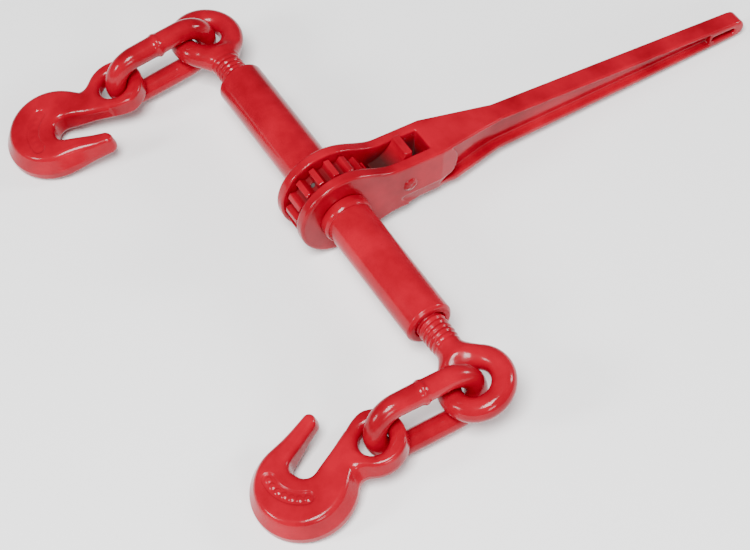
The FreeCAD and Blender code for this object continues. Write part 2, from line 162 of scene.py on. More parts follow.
EYE_R = 18.5
EYE_WIRE_R = 8.4
EYE_FILLET = 8.0
SCREW_LENGTH = 166.0
NECK_THINNER = 0.9
THREAD_FADES_FROM = 12.0
THREAD_FADES_OVER = 14.0
NECK_BEHIND_RING = 3.0
SHANK_EDGE = 0.8
THREAD_SHARPNESS = 1.5
SPIGOT_R = 6.0
SPIGOT_LENGTH = 8.0
SPIGOT_SHOWS = 4.9

LINK_WIRE_R = 7.8
LINK_LENGTH = 89.6
LINK_HALF_WIDTH = 10.9 + LINK_WIRE_R
WELD_HALF = 1.9
WELD_HEIGHT = 1.05
WELD_RIPPLE = 0.25
WELD_FADE = 10.0
LINK_WAVE = 0.1
LINK_WAVE_LENGTH = 9.0

HOOK_EYE_R = 22.0
HOOK_HOLE_R = 10.2
HOOK_BOWL = (46.2, -25.0)
HOOK_BOWL_R = 35.5
THROAT_HALF = 9.6
THROAT_B = -29.8
THROAT_END = 43.9
HOOK_TIP = (7.5, -45.1)
HOOK_TIP_R = 5.7
HOOK_THIN = 7.3
HOOK_THICKER = 2.2
HOOK_THICKENS_FROM = 12.0
HOOK_THICKENS_OVER = 26.0
HOOK_WEB = (45.0, -3.0)
HOOK_EDGE = 2.8
HOLE_EDGE = 5.5
THROAT_OPEN = -60.0
THROAT_CORNER = 8.0
THROAT_EDGE = 4.2
BOWL_FILLET = 9.0
DRAFT = 0.52
DRAFT_FROM_Z = -2.0
DRAFT_STARTS = -10.0
DRAFT_GROWS_OVER = 40.0
HOOK_POCKET_R = 25.0
HOOK_POCKET_HALF = 4.4
HOOK_POCKET_DEPTH = 0.9
HOOK_POCKET_MIDDLE = math.radians(2)
HOOK_POCKET_SPAN = math.radians(36)
HOOK_DOTS_TO_SIDE = 3
DOT_R = 2.7
DOT_SLOPE = 1.6
RELIEF = {"right": 0.95, "left": 0.25}

# One row for each end, laid out as in the CAD model: the side of the barrel, the eye's place, the lean
# of its ring, how far the link reaches in, along the barrel and down, then the turn, slope and lean of
# the link, the turn and slope of the hook, and whether the hook is mirrored.
ENDS = {
    "right": dict(side=1, eye_x=181.5, lean=17.6, inset=17.4, shift=-1.2, drop=-0.9, link_turn=-1.9,
                  link_slope=-1.2, link_lean=-11.0, hook_turn=26.0, hook_slope=-11.0, flip=1),
    "left": dict(side=-1, eye_x=176.2, lean=-6.0, inset=17.8, shift=0.0, drop=2.0, link_turn=1.0,
                 link_slope=-5.2, link_lean=0.0, hook_turn=-26.0, hook_slope=-11.0, flip=-1),
}
HOOK_SEAT = 1.5
HOOK_ASIDE = 1.2
HOOK_DROP = 4.0
HOOK_ROLL = math.radians(4.0)

# ---------------------------------------------------------------- meshing
NEWTON_STEPS = 3
PROBE = 0.05
LEAST_SLOPE = 0.05
FURTHEST = 0.7
# the thread's steep flanks make its field grow faster than the distance, so it is scaled down
FLANK_SCALE = 0.85
CORNER_POINTS = 6


# ---------------------------------------------------------------- distance fields
def join(a, b, r):
    """Both shapes, with a fillet of about r where they meet."""
    u, v = np.maximum(r - a, 0), np.maximum(r - b, 0)
    return np.maximum(r, np.minimum(a, b)) - np.hypot(u, v)


def meet(a, b, r):
    """What both shapes hold, with its edge rounded to r."""
    return -join(-a, -b, r)


def cut(a, b, r):
    """The first shape without the second, with the new edge rounded to r."""
    return -join(-a, b, r)


def ramp(t):
    """A smooth step from 0 to 1."""
    t = np.clip(t, 0, 1)
    return t * t * (3 - 2 * t)


def disc(u, v, centre, r):
    """A disc in the plane."""
    return np.hypot(u - centre[0], v - centre[1]) - r


def polygon(u, v, points):
    """Distance to a closed outline in the plane, negative inside it."""
    near, turns = None, None
    for (a, b), (c, d) in zip(points, points[1:] + points[:1]):
        eu, ev = c - a, d - b
        wu, wv = u - a, v - b
        t = np.clip((wu * eu + wv * ev) / (eu * eu + ev * ev), 0, 1)
        gap = (wu - eu * t) ** 2 + (wv - ev * t) ** 2
        above, below = v >= b, v < d
        left = eu * wv > ev * wu
        crossing = (above & below & left) | (~above & ~below & ~left)
        near = gap if near is None else np.minimum(near, gap)
        turns = crossing if turns is None else turns ^ crossing
    return np.where(turns, -1.0, 1.0) * np.sqrt(near)


def slab(u, v, low, high, r):
    """A rectangle in the plane with corners rounded to r."""
    cu, cv = (low[0] + high[0]) / 2, (low[1] + high[1]) / 2
    du = np.abs(u - cu) - (high[0] - low[0]) / 2 + r
    dv = np.abs(v - cv) - (high[1] - low[1]) / 2 + r
    return np.minimum(np.maximum(du, dv), 0) + np.hypot(np.maximum(du, 0), np.maximum(dv, 0)) - r


def capsule(u, v, a, b, r):
    """A round-ended bar in the plane."""
    eu, ev = b[0] - a[0], b[1] - a[1]
    t = np.clip(((u - a[0]) * eu + (v - a[1]) * ev) / (eu * eu + ev * ev), 0, 1)
    return np.hypot(u - a[0] - eu * t, v - a[1] - ev * t) - r


def round_cone(u, v, a, ra, b, rb):
    """The hull of two discs in the plane."""
    length = math.hypot(b[0] - a[0], b[1] - a[1])
    eu, ev = (b[0] - a[0]) / length, (b[1] - a[1]) / length
    along = (u - a[0]) * eu + (v - a[1]) * ev
    across = np.abs((v - a[1]) * eu - (u - a[0]) * ev)
    sin = (ra - rb) / length
    cos = math.sqrt(1 - sin * sin)
    t = np.clip((along - across * sin / cos) / length, 0, 1)
    return np.hypot(along - t * length, across) - (ra + t * (rb - ra))


# ---------------------------------------------------------------- from a field to a mesh
def surface(field, low, high, step):
    """Points and quads of the field's zero surface, by surface nets and Newton steps."""
    axes = [np.arange(a - step, b + 2 * step, step) for a, b in zip(low, high)]
    shape = tuple(len(a) for a in axes)
    d = np.broadcast_to(field(*np.ix_(*axes)), shape)
    inside = d < 0
    corners = np.array(list(itertools.product((0, 1), repeat=3)))
    count = sum(
        inside[tuple(slice(k, n - 1 + k) for k, n in zip(c, shape))].astype(np.int8)
        for c in corners
    )
    cells = np.argwhere((count > 0) & (count < 8))
    number = np.full(count.shape, -1)
    number[tuple(cells.T)] = np.arange(len(cells))

    total = np.zeros((len(cells), 3))
    hits = np.zeros((len(cells), 1))
    for a, b in itertools.combinations(corners, 2):
        if np.abs(a - b).sum() != 1:
            continue
        da, db = d[tuple((cells + a).T)], d[tuple((cells + b).T)]
        crossed = ((da < 0) != (db < 0))[:, None]
        t = np.where(crossed[:, 0], da / np.where(da == db, 1, da - db), 0)[:, None]
        total += crossed * (cells + a + t * (b - a))
        hits += crossed
    start = np.array([a[0] for a in axes])
    points = start + total / hits * step

    quads = []
    for k in range(3):
        i, j = (k + 1) % 3, (k + 2) % 3
        first = inside[tuple(slice(0, -1) if n == k else slice(1, -1) for n in range(3))]
        second = inside[tuple(slice(1, None) if n == k else slice(1, -1) for n in range(3))]
        at = np.argwhere(first != second)
        solid = first[tuple(at.T)]
        at = at + [0 if n == k else 1 for n in range(3)]
        ring = []
        for di, dj in ((0, 0), (1, 0), (1, 1), (0, 1)):
            cell = at.copy()
            cell[:, i] -= di
            cell[:, j] -= dj
            ring.append(number[tuple(cell.T)])
        ring = np.stack(ring, 1)
        quads.append(np.where(solid[:, None], ring, ring[:, ::-1]))

    small = step * PROBE
    for _ in range(NEWTON_STEPS):
        slope = np.stack(
            [
                (field(*(points + small * e).T) - field(*(points - small * e).T)) / (2 * small)
                for e in np.eye(3)
            ],
            1,
        )
        size = np.maximum((slope**2).sum(1), LEAST_SLOPE)
        move = -(field(*points.T) / size)[:, None] * slope
        far = np.maximum(np.linalg.norm(move, axis=1) / (step * FURTHEST), 1)[:, None]
        points = points + move / far
    return points, np.concatenate(quads)


def lathe(profile, steps=96):
    """Points and quads of an (x, r) outline turned about X, closed on itself."""
    outline = np.array(profile)
    turns = np.arange(steps) * 2 * math.pi / steps
    n = len(outline)
    points = np.stack(
        [
            np.repeat(outline[:, 0][None], steps, 0),
            outline[:, 1][None] * np.cos(turns)[:, None],
            outline[:, 1][None] * np.sin(turns)[:, None],
        ],
        -1,
    ).reshape(-1, 3)
    i, j = np.meshgrid(np.arange(steps), np.arange(n), indexing="ij")
    i2, j2 = (i + 1) % steps, (j + 1) % n
    quads = np.stack([i * n + j, i * n + j2, i2 * n + j2, i2 * n + j], -1).reshape(-1, 4)
    return points, quads


def rounded(corners):
    """A closed outline of (x, r, fillet) corners, with each corner made a curve of short chords."""
    out = []
    for k, (x, r, fillet) in enumerate(corners):
        here = np.array([x, r])
        before = np.array(corners[k - 1][:2]) - here
        after = np.array(corners[(k + 1) % len(corners)][:2]) - here
        for t in np.linspace(0, 1, CORNER_POINTS if fillet else 1):
            a = here + before / np.linalg.norm(before) * fillet
            b = here + after / np.linalg.norm(after) * fillet
            out.append(tuple((1 - t) ** 2 * a + 2 * t * (1 - t) * here + t * t * b))
    return out


def make(name, shape, placement, body, material, slot, *nodes):
    """One piece of the object, placed in the CAD frame and riding on its body."""
    points, quads = shape
    m = np.array(placement)
    points = (points @ m[:3, :3].T + m[:3, 3]) * MM
    if np.linalg.det(m[:3, :3]) < 0:
        quads = quads[:, ::-1]
    mesh = bpy.data.meshes.new(name)
    mesh.vertices.add(len(points))
    mesh.vertices.foreach_set("co", points.astype(np.float32).ravel())
    mesh.loops.add(quads.size)
    mesh.loops.foreach_set("vertex_index", quads.astype(np.int32).ravel())
    mesh.polygons.add(len(quads))
    mesh.polygons.foreach_set("loop_start", np.arange(0, quads.size, 4, dtype=np.int32))
    mesh.update(calc_edges=True)
    mesh.validate()
    mesh.shade_smooth()
    obj = bpy.data.objects.new(name, mesh)
    bpy.context.scene.collection.objects.link(obj)
    mesh.materials.append(material)
    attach(obj, body)
    if nodes:
        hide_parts(*nodes)
    return obj


AXIS = Vector(JOINTS["handle_turn"]["pos_m"]) / MM


# ---------------------------------------------------------------- materials
def nodes_of(name):
    """A new material, its node tree and its shader."""
    material = bpy.data.materials.new(name)
    material.use_nodes = True
    tree = material.node_tree
    return material, tree, tree.nodes["Principled BSDF"]


def noise(tree, where, scale, detail=4.0, roughness=0.55):
    node = tree.nodes.new("ShaderNodeTexNoise")
    node.inputs["Scale"].default_value = scale
    node.inputs["Detail"].default_value = detail
    node.inputs["Roughness"].default_value = roughness
    tree.links.new(where, node.inputs["Vector"])
    return node.outputs["Fac"]


def spread(tree, value, low, high, to_low, to_high):
    """A value from low to high mapped onto to_low to to_high, and held there beyond them."""
    node = tree.nodes.new("ShaderNodeMapRange")
    node.inputs["From Min"].default_value = low
    node.inputs["From Max"].default_value = high
    node.inputs["To Min"].default_value = to_low
    node.inputs["To Max"].default_value = to_high
    tree.links.new(value, node.inputs["Value"])
    return node.outputs["Result"]


def blend(tree, share, a, b):
    """A colour between a and b, each a colour or another node's output."""
    node = tree.nodes.new("ShaderNodeMix")
    node.data_type = "RGBA"
    tree.links.new(share, node.inputs["Factor"])
    for socket, value in ((node.inputs[6], a), (node.inputs[7], b)):
        if isinstance(value, tuple):
            socket.default_value = (*value, 1)
        else:
            tree.links.new(value, socket)
    return node.outputs[2]


def combine(tree, a, b, operation="ADD"):
    """A math node on two values, each a number or another node's output."""
    node = tree.nodes.new("ShaderNodeMath")
    node.operation = operation
    for socket, value in zip(node.inputs, (a, b)):
        if isinstance(value, float):
            socket.default_value = value
        else:
            tree.links.new(value, socket)
    return node.outputs[0]


def bump(tree, height, distance, strength, under=None):
    node = tree.nodes.new("ShaderNodeBump")
    node.inputs["Distance"].default_value = distance
    node.inputs["Strength"].default_value = strength
    tree.links.new(height, node.inputs["Height"])
    if under is not None:
        tree.links.new(under, node.inputs["Normal"])
    return node.outputs["Normal"]


# colours, noise scales per metre, and the enamel's finish
RED = (0.32, 0.0004, 0.012)
DEEP_RED = (0.19, 0.0, 0.006)
# near-black painted shade, laid into hollows, the handle's slot and the gaps between the gear's teeth
SHADE_DARK = (0.020, 0.004, 0.003)
STEEL = (0.16, 0.12, 0.11)
OILED_LIGHT = (0.30, 0.29, 0.28)
OILED_DARK = (0.14, 0.12, 0.11)
FLOOR = (0.90, 0.90, 0.90)
PATCH_SCALE = 28.0
# scale of the noise that breaks up the painted shade in hollows
SHADE_BREAKUP_SCALE = 90.0
SPECK_SCALE = 520.0
GLOSS_SCALE = 60.0
RIPPLE_SCALE = 55.0
PEEL_SCALE = 420.0
OIL_SCALE = 160.0
TURNING_SCALE = 900.0
# the noise and pointiness between which each effect fades in
PATCHES = (0.35, 0.68)
# the painted shade in hollows: its pointiness range, then the noise that breaks it up
HOLLOWS = (0.485, 0.42)
SHADE_BREAKUP = (0.4, 0.7)
EDGES = (0.54, 0.60)
CHIPS = (0.60, 0.66)
MIDDLING = (0.3, 0.7)
SPECULAR = 0.15
COAT = 0.10
COAT_ROUGHNESS = 0.06
GLOSS = (0.13, 0.24)
OILED_GLOSS = (0.25, 0.45)
FLOOR_ROUGHNESS = 0.7
# how much rougher the enamel is under its painted shade
SHADE_DULLS = 0.5
RIPPLE_HEIGHT = 0.0012
PEEL_HEIGHT = 0.00012
TURNING_HEIGHT = 0.0001

# painted shade in the handle's slot, in metres from the barrel's axis: each pair fades from 0 to 1
SLOT_SHADE_X = (0.0101, 0.0094)
SLOT_SHADE_START = (0.024, 0.036)
SLOT_SHADE_END = (0.0735, 0.0725)
SLOT_SHADE_Z = (0.019, 0.010)
SLOT_SHADE_AMOUNT = 0.93
# and painted shade in the gaps between the gear's teeth, by the distance from the axis
GULLET_SHADE_R = (0.0290, 0.0262)
GULLET_SHADE_AMOUNT = 0.6


def apart(tree, where):
    """The three coordinates of a point, in the CAD frame in metres."""
    node = tree.nodes.new("ShaderNodeSeparateXYZ")
    tree.links.new(where, node.inputs["Vector"])
    return node.outputs


def shade_in_slot(tree, where):
    """Painted shade, 1 deep inside the handle's slot and 0 on the outside."""
    x, y, z = apart(tree, where)
    aside = combine(tree, combine(tree, x, AXIS.x * MM, "SUBTRACT"), 0.0, "ABSOLUTE")
    near = spread(tree, aside, *SLOT_SHADE_X, 0.0, 1.0)
    out = combine(tree, y, AXIS.y * MM, "SUBTRACT")
    begun = spread(tree, out, *SLOT_SHADE_START, 0.0, 1.0)
    not_over = spread(tree, out, *SLOT_SHADE_END, 0.0, 1.0)
    along = combine(tree, begun, not_over, "MULTIPLY")
    level = combine(tree, combine(tree, z, AXIS.z * MM, "SUBTRACT"),
                    combine(tree, out, math.tan(HANDLE_DROP), "MULTIPLY"))
    deep = spread(tree, level, *SLOT_SHADE_Z, 0.0, SLOT_SHADE_AMOUNT)
    return combine(tree, combine(tree, near, along, "MULTIPLY"), deep, "MULTIPLY")


def shade_in_gullets(tree, where):
    """Painted shade, 1 at the foot of the gear's teeth and 0 at their tips."""
    _, y, z = apart(tree, where)
    up = combine(tree, z, AXIS.z * MM, "SUBTRACT")
    out = combine(tree, y, AXIS.y * MM, "SUBTRACT")
    square = combine(tree, combine(tree, up, up, "MULTIPLY"), combine(tree, out, out, "MULTIPLY"))
    return spread(tree, square, *(r**2 for r in GULLET_SHADE_R), 0.0, GULLET_SHADE_AMOUNT)


def enamel(name, ripple=0.5, peel=0.35, hollow_shade=0.5, wear=0.35, painted_shade=None):
    """Gloss red enamel, dipped over steel: slow ripples of the casting, fine orange peel, painted
    shade in the hollows, patchy and a little rougher there, and a few chips on the sharp edges."""
    material, tree, shader = nodes_of(name)
    where = tree.nodes.new("ShaderNodeTexCoord").outputs["Object"]
    point = tree.nodes.new("ShaderNodeNewGeometry").outputs["Pointiness"]
    patches = noise(tree, where, PATCH_SCALE)
    specks = noise(tree, where, SPECK_SCALE, 3.0, 0.65)
    colour = blend(tree, spread(tree, patches, *PATCHES, 0.0, 1.0), RED, DEEP_RED)
    # painted shade: the enamel darkens towards the near-black shade colour in the hollows, by
    # pointiness, broken up by noise
    shaded_hollows = spread(tree, point, *HOLLOWS, 0.0, hollow_shade)
    shade_breakup = spread(tree, noise(tree, where, SHADE_BREAKUP_SCALE), *SHADE_BREAKUP, 0.2, 1.0)
    shaded = combine(tree, shaded_hollows, shade_breakup, "MULTIPLY")
    # painted shade from a mask by coordinates: deep in the handle's slot, or between the gear's teeth
    if painted_shade is not None:
        shaded = combine(tree, shaded, painted_shade(tree, where), "MAXIMUM")
    colour = blend(tree, shaded, colour, SHADE_DARK)
    edge = spread(tree, point, *EDGES, 0.0, 1.0)
    chips = combine(tree, edge, spread(tree, specks, *CHIPS, 0.0, wear), "MULTIPLY")
    colour = blend(tree, chips, colour, STEEL)
    tree.links.new(colour, shader.inputs["Base Color"])
    # the enamel is a little rougher under its painted shade
    dull = combine(tree, shaded, SHADE_DULLS, "MULTIPLY")
    gloss = spread(tree, noise(tree, where, GLOSS_SCALE), *MIDDLING, *GLOSS)
    tree.links.new(combine(tree, gloss, dull), shader.inputs["Roughness"])
    shader.inputs["Specular IOR Level"].default_value = SPECULAR
    shader.inputs["Coat Weight"].default_value = COAT
    shader.inputs["Coat Roughness"].default_value = COAT_ROUGHNESS
    slow = bump(tree, noise(tree, where, RIPPLE_SCALE, 2.0), RIPPLE_HEIGHT, ripple)
    fine = bump(tree, noise(tree, where, PEEL_SCALE, 2.0), PEEL_HEIGHT, peel, slow)
    tree.links.new(fine, shader.inputs["Normal"])
    tree.links.new(fine, shader.inputs["Coat Normal"])
    return material


def oiled_steel():
    """Plain turned steel with a film of oil."""
    material, tree, shader = nodes_of("oiled_steel")
    where = tree.nodes.new("ShaderNodeTexCoord").outputs["Object"]
    patches = noise(tree, where, OIL_SCALE)
    tree.links.new(blend(tree, patches, OILED_LIGHT, OILED_DARK), shader.inputs["Base Color"])
    tree.links.new(spread(tree, patches, *MIDDLING, *OILED_GLOSS), shader.inputs["Roughness"])
    shader.inputs["Metallic"].default_value = 1.0
    turning = bump(tree, noise(tree, where, TURNING_SCALE), TURNING_HEIGHT, 0.3)
    tree.links.new(turning, shader.inputs["Normal"])
    return material


# each enamel gets painted shade in its hollows; the handle, pawl and gear also get painted shade in
# the slot and between the teeth
TUBE_RED = enamel("tube_enamel", ripple=0.05, peel=0.3, hollow_shade=0.35, wear=0.5)
CAST_RED = enamel("cast_enamel", ripple=0.10, peel=0.4, painted_shade=shade_in_slot)
FORGED_RED = enamel("forged_enamel", ripple=0.14, peel=0.5, hollow_shade=0.7, wear=0.25)
GEAR_RED = enamel("gear_enamel", ripple=0.08, peel=0.4, hollow_shade=0.9, wear=0.6, painted_shade=shade_in_gullets)
PAWL_RED = enamel("pawl_enamel", ripple=0.08, peel=0.4, hollow_shade=0.9, wear=0.6, painted_shade=shade_in_slot)
RIVET_RED = enamel("rivet_enamel", ripple=0.10, peel=0.4, hollow_shade=0.9, wear=0.6)
OILED = oiled_steel()


# ---------------------------------------------------------------- where the pieces lie
def matrix(origin, x, y, z):
    """The placement with these axes at this origin."""
    m = Matrix((x, y, z)).transposed().to_4x4()
    m.translation = origin
    return m


# the barrel's frame, turned so that +Y runs along the handle
TILTED = Matrix.Translation(AXIS) @ Matrix.Rotation(-HANDLE_DROP, 4, "X")


def heading(turn, slope):
    """The direction turned from -Y towards +X, and raised by slope, in degrees."""
    t, s = math.radians(turn), math.radians(slope)
    return Vector((math.sin(t) * math.cos(s), -math.cos(t) * math.cos(s), math.sin(s)))


def lying(origin, along, up):
    """The placement with +X along a direction and +Z as near to up as that allows."""
    across = up.cross(along).normalized()
    return matrix(origin, along, across, along.cross(across).normalized())


def eye_place(end):
    """The frame of an eye screw, drawn along +X: mirrored for the left end, then leaned."""
    lean = Matrix.Rotation(math.radians(end["lean"]), 4, "X")
    return Matrix.Translation(AXIS) @ lean @ Matrix.Diagonal((end["side"], 1, 1, 1))


def link_place(end):
    """The frame of a link: its middle, with +X away from the eye screw."""
    lean = math.radians(end["lean"])
    ring = Vector((end["side"] * end["eye_x"], -EYE_R * math.cos(lean), -EYE_R * math.sin(lean)))
    along = heading(end["link_turn"], end["link_slope"])
    bow = ring - along * end["inset"] + Vector((end["shift"], 0, -end["drop"]))
    up = Matrix.Rotation(-math.radians(end["link_lean"]), 3, along) @ Vector((0, 0, 1))
    return lying(AXIS + bow + along * (LINK_LENGTH / 2 - LINK_WIRE_R), along, up)


def hook_place(end):
    """The frame of a hook: the centre of its hole, with +X away from the link."""
    pivot = link_place(end) @ Vector((LINK_LENGTH / 2 - LINK_WIRE_R, 0, 0))
    along_link = heading(end["link_turn"], end["link_slope"])
    centre = pivot + along_link * HOOK_SEAT + Vector((end["side"] * HOOK_ASIDE, 0, -HOOK_DROP))
    along = heading(end["hook_turn"], end["hook_slope"])
    up = Matrix.Rotation(end["flip"] * HOOK_ROLL, 3, along) @ Vector((0, 0, 1))
    place = lying(centre, along, up)
    return place @ Matrix.Diagonal((1, end["flip"], 1, 1))


# ---------------------------------------------------------------- barrel, gear and collars
def barrel_shape():
    """The turned tube, wider inside between its two threaded ends."""
    half, end = BARREL_HALF, BARREL_HALF - THREADED_END
    corners = []
    for s in (1, -1):
        part = [
            (s * end, CAVITY_R, 0.4),
            (s * end, MOUTH_R, 0.3),
            (s * (half - MOUTH_CHAMFER), MOUTH_R, 0.4),
            (s * half, MOUTH_R + MOUTH_FLARE, 0.4),
            (s * half, BARREL_R - BARREL_CHAMFER, 0.7),
            (s * (half - BARREL_CHAMFER), BARREL_R, 0.9),
        ]
        corners += part if s > 0 else part[::-1]
    return lathe(rounded(corners))


def gear_field(x, y, z):
    """The ratchet gear about X, with the pin's hole in one tooth gap."""
    pitch = 2 * math.pi / TEETH
    r = np.hypot(y, z)
    turn = np.arctan2(z, y) - math.radians(GEAR_PHASE)
    turn = (turn + pitch / 2) % pitch - pitch / 2
    u, v = r * np.cos(turn), np.abs(r * np.sin(turn))
    share = (u - GEAR_ROOT_R) / (GEAR_TIP_R - GEAR_ROOT_R)
    half = TOOTH_HALF_ROOT + share * (TOOTH_HALF_TIP - TOOTH_HALF_ROOT)
    tooth = meet(v - half, np.maximum(u - GEAR_TIP_R, GEAR_ROOT_R - 4 - u), TOOTH_EDGE)
    ring = join(r - GEAR_ROOT_R, tooth, ROOT_FILLET)
    solid = meet(ring, np.abs(x) - GEAR_HALF, GEAR_EDGE)
    solid = cut(solid, r - BARREL_R - SEAT_GAP, 0.5)
    a = math.radians(PIN_TURN)
    across = np.hypot(y * math.sin(a) - z * math.cos(a), x)
    hole = np.maximum(across - PIN_HOLE_R, -(y * math.cos(a) + z * math.sin(a)))
    return cut(solid, hole, 0.5)


def collar_shape():
    """A collar on the barrel, outside the +X cheek."""
    start, end = COLLAR_START, COLLAR_START + COLLAR_WIDTH
    corners = [
        (start, BARREL_R + SEAT_GAP, 0.2),
        (start, COLLAR_R, 0.5),
        (end - COLLAR_CHAMFER_X, COLLAR_R, 0.9),
        (end, COLLAR_R - COLLAR_CHAMFER_R, 0.5),
        (end, BARREL_R + SEAT_GAP, 0.2),
    ]
    return lathe(rounded(corners[::-1]))


# ---------------------------------------------------------------- handle, along +Y
def shaft_z(y):
    """Half the shaft's height at y."""
    return SHAFT_Z + (y - SHAFT_START) / (TIP_Y - SHAFT_START) * (TIP_Z - SHAFT_Z)


SHAFT_END = TIP_Y - TIP_Z
HANDLE_UPPER = [
    (HEAD_START, HEAD_Z), (HEAD_END, HEAD_Z), (SHAFT_START, SHAFT_Z), (SHAFT_END, shaft_z(SHAFT_END)),
]
HANDLE_SIDE = HANDLE_UPPER + [(y, -z) for y, z in HANDLE_UPPER[::-1]]
HANDLE_HALF_PLAN = [
    (CHEEK, -45.0), (CHEEK, HEAD_END), (SHAFT_X, SHAFT_START), (TIP_X, TIP_Y + 9),
]
HANDLE_PLAN = HANDLE_HALF_PLAN + [(-x, y) for x, y in HANDLE_HALF_PLAN[::-1]]
WEB_POCKET_START = 80.0
WEB_POCKET_END = 317.0
WEB_POCKET = [
    (WEB_POCKET_START, 16.8), (SHAFT_START, 12.6), (WEB_POCKET_END, 4.6),
    (WEB_POCKET_END, -2.6), (SHAFT_START, -9.6), (WEB_POCKET_START, -13.2),
]


def handle_field(x, y, z):
    """The handle's forging: two cheek discs, slotted head, I-section shaft and windowed tip."""
    ax = np.abs(x)
    head = polygon(y, z, HANDLE_SIDE)
    head = np.minimum(head, disc(y, z, (SHAFT_END, 0), TIP_Z))
    side = join(disc(y, z, (0, 0), DISC_R), head, DISC_FILLET)
    # below the rivet's pad the cheek steps in, and slopes on in towards its lower edge
    rim = PAD_Z + PAD_RISE * np.maximum(y - PAD_RISES_FROM, 0) ** 2
    strip = -meet(z - rim, PAD_START - y - 0.9 * (z - rim), PAD_CORNER)
    slope_in = PAD_SLOPE * np.clip(strip - PAD_BAND, 0, PAD_SLOPE_RUN)
    step_in = PAD_STEP * ramp(strip / PAD_BAND) + slope_in
    plan = polygon(ax + step_in * ramp((PAD_FADES_BY - y) / PAD_FADE), y, HANDLE_PLAN)
    solid = meet(side, plan, CASTING_EDGE)
    floor = WEB_X + (WEB_ROOT_X - WEB_X) * (1 - ramp((y - WEB_THINS_FROM) / WEB_THINS_OVER))
    bulge = np.hypot((y - BULGE[0]) / BULGE_STRETCH, z - BULGE[1]) - BULGE_R
    outline = polygon(y, z, WEB_POCKET) - WEB_POCKET_GROWS
    pocket = meet(outline, floor - ax, WEB_POCKET_CORNER)
    pocket = meet(pocket, -bulge, BULGE_FILLET)
    solid = cut(solid, pocket, WEB_POCKET_EDGE)
    slot = slab(ax, y, (-SLOT_HALF, SLOT_OPEN), (SLOT_HALF, SLOT_END), SLOT_CORNER)
    solid = cut(solid, slot, SLOT_EDGE)
    solid = cut(solid, np.hypot(y, z) - BARREL_R - BORE_GAP, BORE_EDGE)
    window = capsule(y, z, (WINDOW[0], 0.0), (WINDOW[1], 0.0), WINDOW_R)
    return cut(solid, window, WINDOW_EDGE)


PAWL_OUTLINE = [
    (31.2, 11.2), (34.0, 12.5), (44.0, 24.0), (58.6, 24.0), (59.6, 7.0), (PAWL_Y, PAWL_Z - 8.0),
    (33.5, -8.5), (31.2, -6.6), (40.0, 0.2), (40.0, 2.2), (30.9, 9.0),
]


def pawl_field(x, y, z):
    """The pawl: a hub, an upper and a lower claw, and the thumb tab on top."""
    hub = disc(y, z, (PAWL_Y, PAWL_Z), PAWL_HUB_R)
    blank = polygon(y, z, PAWL_OUTLINE)
    solid = cut(np.minimum(hub, blank), disc(y, z, PAWL_SCOOP, PAWL_SCOOP_R), PAWL_EDGE)
    return meet(solid, np.abs(x) - PAWL_HALF, PAWL_EDGE)


def rivet_field(x, y, z):
    """The pawl's pin: a shank through both cheeks, its ends peened into low domes with flats."""
    r = np.hypot(y - PAWL_Y, z - PAWL_Z)
    turn = np.arctan2(z - PAWL_Z, y - PAWL_Y)
    out = np.abs(x) - CHEEK
    lobes = RIVET_LOBE_HEIGHT * np.cos(RIVET_LOBES * turn + 0.7) * ramp(r / 3.0)
    crown = RIVET_CROWN - RIVET_DOME * r * r + lobes
    hit = np.hypot(y - PAWL_Y - RIVET_DIMPLE[0], z - PAWL_Z - RIVET_DIMPLE[1])
    dimple = RIVET_DIMPLE_DEPTH * ramp((RIVET_DIMPLE_R - hit) / 1.6)
    head = meet(meet(out - crown + dimple, r - RIVET_HEAD_R, 0.7), -out - 1.0, 0.3)
    shank = np.maximum(r - RIVET_R, out)
    return np.minimum(head, shank)


# ---------------------------------------------------------------- eye screw, along +X
def eye_field(x, y, z, eye_x):
    """An eye screw: a spigot for its stop washer, the threaded shank, and the ring at eye_x."""
    r = np.hypot(y, z)
    inner = eye_x - SCREW_LENGTH
    neck = eye_x - EYE_R - NECK_BEHIND_RING
    turn = x / PITCH - np.arctan2(z, y) / (2 * math.pi)
    wave = 0.5 - 0.5 * np.cos(2 * math.pi * turn)
    fade = 1 - ramp((x - BARREL_HALF - THREAD_FADES_FROM) / THREAD_FADES_OVER)
    radius = THREAD_R - NECK_THINNER * (1 - fade) - THREAD_DEPTH * wave**THREAD_SHARPNESS * fade
    shank = (r - radius) * FLANK_SCALE
    shank = meet(shank, np.maximum(inner + SPIGOT_SHOWS - x, x - neck), SHANK_EDGE)
    spigot = np.maximum(r - SPIGOT_R, np.maximum(inner - x, x - inner - SPIGOT_LENGTH))
    ring = np.hypot(np.hypot(x - eye_x, y) - EYE_R, z) - EYE_WIRE_R
    solid = join(shank, ring, EYE_FILLET)
    return np.minimum(solid, spigot)


# ---------------------------------------------------------------- link and hook
def link_field(x, y, z):
    """A welded oval link, long in X and wide in Z, its wire slightly uneven."""
    bow = LINK_LENGTH / 2 - LINK_WIRE_R - LINK_HALF_WIDTH
    line = np.hypot(np.maximum(np.abs(x) - bow, 0), z) - LINK_HALF_WIDTH
    ripple = 1 + WELD_RIPPLE * np.sin(3.1 * np.arctan2(y, np.abs(z) - LINK_HALF_WIDTH) + 0.6)
    weld = WELD_HEIGHT * np.exp(-((x / WELD_HALF) ** 2)) * ramp(z / WELD_FADE) * ripple
    wave = LINK_WAVE * np.cos(x / LINK_WAVE_LENGTH)
    return np.hypot(line, y) - LINK_WIRE_R - weld - wave


